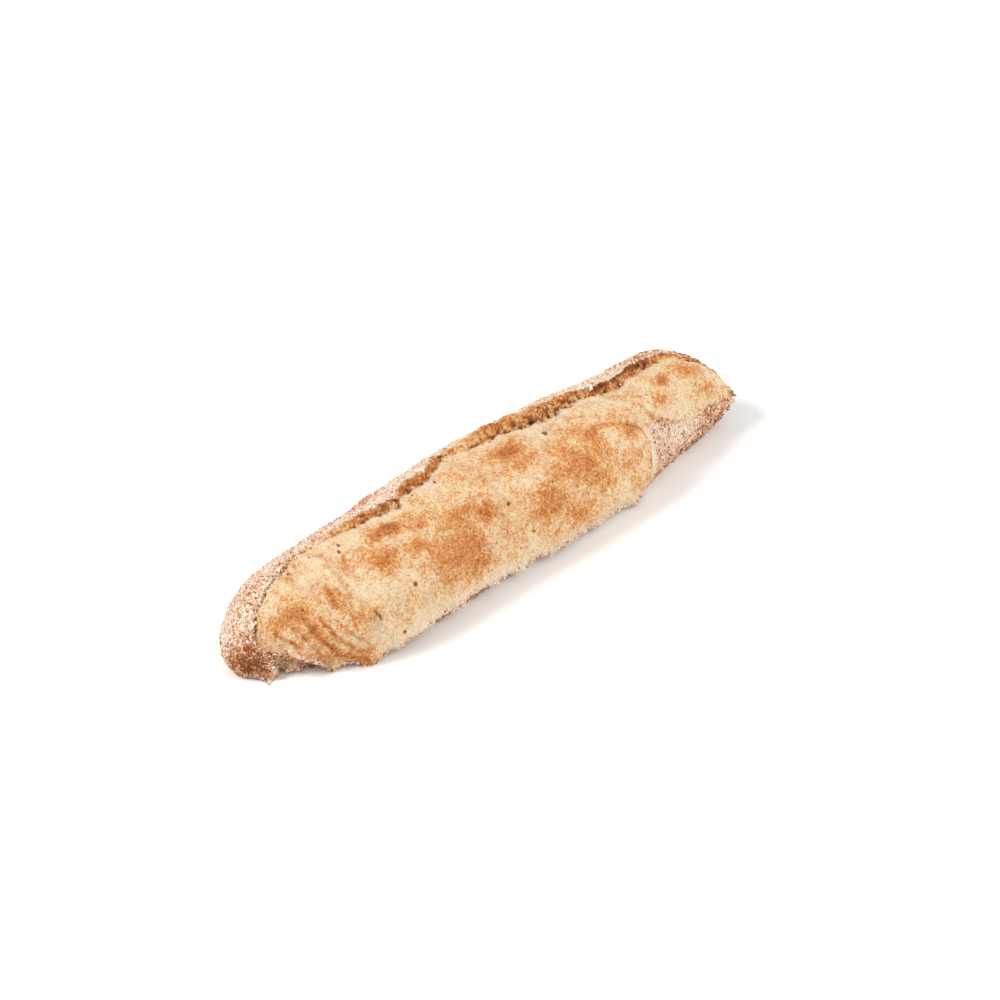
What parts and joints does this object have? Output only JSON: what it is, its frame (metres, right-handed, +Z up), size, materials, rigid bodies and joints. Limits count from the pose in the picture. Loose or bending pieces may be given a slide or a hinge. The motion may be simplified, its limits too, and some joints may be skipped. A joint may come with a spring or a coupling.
{
  "type": "baguette",
  "caption": "Rustic whole-grain baguette baked as one piece, with a flat underside, a smooth burst face and a torn crust ear along the top.",
  "frame": {"origin": "centre of the loaf's bounding box, on the surface it rests on", "axes": "+X along the loaf towards its tapered end, -Y towards the burst front face, +Z up"},
  "size_m": [0.4, 0.0986, 0.067],
  "materials": {
    "crust": null
  },
  "bodies": {
    "root": {"loaf": "crust"}
  },
  "joints": []
}
